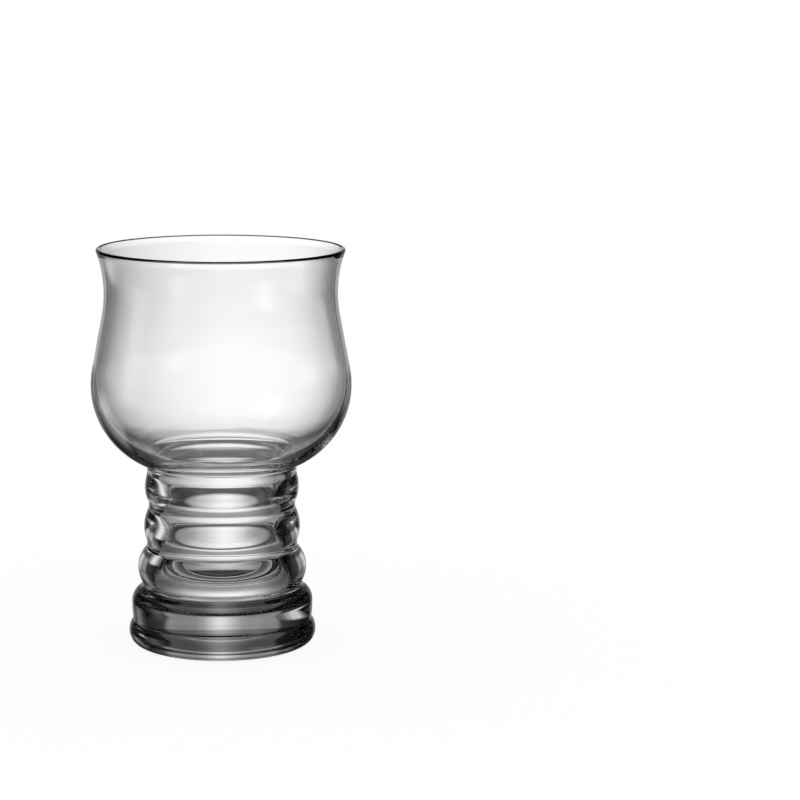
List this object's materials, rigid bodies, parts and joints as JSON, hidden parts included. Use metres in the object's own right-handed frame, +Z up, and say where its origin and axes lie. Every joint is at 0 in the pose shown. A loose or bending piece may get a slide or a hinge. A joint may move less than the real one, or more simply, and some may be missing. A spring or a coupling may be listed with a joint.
{
  "type": "beer glass",
  "caption": "Tulip-shaped clear beer glass: a flared bowl over a hollow stem ringed with rounded ribs and a thick round foot.",
  "frame": {"origin": "middle of the ring that the glass stands on, at table level", "axes": "+Z up along the axis of the glass; X and Y are free, because the glass is round"},
  "size_m": [0.0899, 0.0898, 0.138],
  "materials": {
    "clear_glass": "fire-polished, colourless"
  },
  "bodies": {
    "root": {"glass": "clear_glass"}
  },
  "joints": []
}
